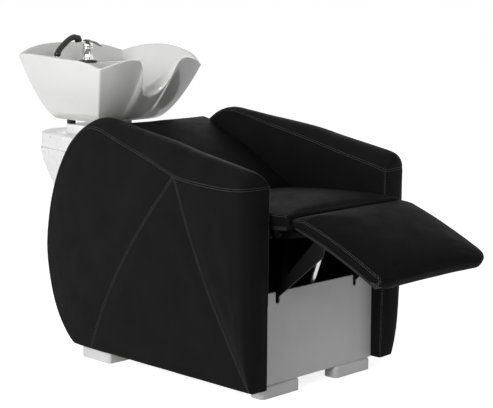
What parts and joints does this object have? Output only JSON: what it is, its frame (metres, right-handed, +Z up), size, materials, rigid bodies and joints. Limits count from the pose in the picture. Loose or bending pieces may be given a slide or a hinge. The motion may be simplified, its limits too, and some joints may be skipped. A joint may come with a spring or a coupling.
{
  "type": "hair washing bed",
  "caption": "Backwash unit: reclined armchair with rounded upholstered arms and folding legrest, joined to a tilting neck-notch basin with mixer tap on a flared column.",
  "frame": {"origin": "middle of the whole unit's floor outline, on the floor", "axes": "+X to the client's left, +Y from the legrest to the basin, +Z up"},
  "size_m": [0.74, 1.7144, 1.0163],
  "materials": {
    "arm_leather": "fine-grained black upholstery leather with grey double stitching",
    "cushion_leather": "fine-grained black upholstery leather over foam",
    "plywood": "bare birch plywood",
    "black_steel": "satin black powder coat",
    "bright_steel": "bright zinc plate",
    "foot_plastic": "matte white moulded",
    "column_plastic": "semi-gloss white moulded",
    "skirt_panel": "satin pale grey laminate",
    "black_plastic": "satin black moulded",
    "rubber": "black rubber",
    "ceramic": "white gloss glaze",
    "brass": "turned",
    "chrome": "polished"
  },
  "bodies": {
    "base": {"left_arm_cover": "arm_leather", "right_arm_cover": "arm_leather", "left_arm_board": "plywood", "right_arm_board": "plywood", "seat_cushion": "cushion_leather", "seat_board": "plywood", "back_cushion": "cushion_leather", "back_board": "plywood", "base_frame": "black_steel", "left_side_frame": "black_steel", "right_side_frame": "black_steel", "seat_cross_tube": "black_steel", "left_front_foot": "foot_plastic", "right_front_foot": "foot_plastic", "left_rear_foot": "foot_plastic", "right_rear_foot": "foot_plastic", "front_skirt": "skirt_panel", "rear_cover": "black_plastic", "left_hinge_pin": "bright_steel", "right_hinge_pin": "bright_steel", "actuator_bracket": "black_steel", "actuator_pin": "bright_steel", "control_box": "black_plastic", "column_lower_casing": "column_plastic", "column_upper_casing": "column_plastic", "column_post": "black_steel", "column_tie": "black_steel", "waste_pipe": "black_plastic", "waste_boot": "rubber", "right_side_panel": "column_plastic", "right_panel_screw": "bright_steel", "neck_block": "column_plastic", "left_tilt_leaf": "bright_steel", "left_tilt_pin": "bright_steel", "left_rubber_buffer": "rubber", "right_tilt_leaf": "bright_steel", "right_tilt_pin": "bright_steel", "right_rubber_buffer": "rubber"},
    "legrest": {"legrest_pad": "cushion_leather", "legrest_board": "plywood", "left_crank_plate": "black_steel", "right_crank_plate": "black_steel", "push_tube": "black_steel"},
    "actuator": {"actuator_gearcase": "black_plastic", "actuator_motor": "black_plastic", "actuator_sleeve": "black_plastic"},
    "rod": {"actuator_rod": "bright_steel"},
    "basin_unit": {"basin": "ceramic", "basin_mount_plate": "bright_steel", "drain_tail": "chrome", "mixer_base_ring": "black_plastic", "mixer_body": "chrome", "mixer_nut": "brass", "shower_collar": "chrome"},
    "strainer": {"drain_strainer": "chrome"},
    "mixer_top": {"mixer_head": "chrome"},
    "mixer_lever_body": {"mixer_lever": "chrome"},
    "hand_shower": {"shower_ferrule": "chrome", "shower_handle": "black_plastic", "shower_spray_face": "chrome"}
  },
  "joints": [
    {"name": "legrest_fold", "type": "hinge", "parent": "base", "child": "legrest", "pos_m": [0, -0.41984, 0.478], "axis": [1, 0, 0], "range_deg": [0, 57]},
    {"name": "actuator_swing", "type": "hinge", "parent": "base", "child": "actuator", "pos_m": [0, -0.31784, 0.11], "axis": [1, 0, 0], "range_deg": [-1, 1]},
    {"name": "rod_eye_turn", "type": "hinge", "parent": "legrest", "child": "rod", "pos_m": [0, -0.45984, 0.481], "axis": [1, 0, 0], "range_deg": [-60, 1]},
    {"name": "basin_tilt", "type": "hinge", "parent": "base", "child": "basin_unit", "pos_m": [0, 0.51016, 0.721], "axis": [1, 0, 0], "range_deg": [0, 8]},
    {"name": "strainer_lift", "type": "slide", "parent": "basin_unit", "child": "strainer", "axis": [0, 0, 1], "range_m": [0, 0.03]},
    {"name": "mixer_swing", "type": "hinge", "parent": "basin_unit", "child": "mixer_top", "pos_m": [0, 0.65211, 0.973], "axis": [0, 0, 1], "range_deg": [-45, 45]},
    {"name": "lever_lift", "type": "hinge", "parent": "mixer_top", "child": "mixer_lever_body", "pos_m": [0, 0.65211, 0.9929], "axis": [-1, 0, 0], "range_deg": [0, 15]},
    {"name": "shower_lift", "type": "slide", "parent": "basin_unit", "child": "hand_shower", "axis": [0, 0, 1], "range_m": [0, 0.15]}
  ],
  "couplings": [
    {"joint": "actuator_swing", "follows": "legrest_fold", "ratio": -0.006107},
    {"joint": "rod_eye_turn", "follows": "legrest_fold", "ratio": -1.0061}
  ]
}
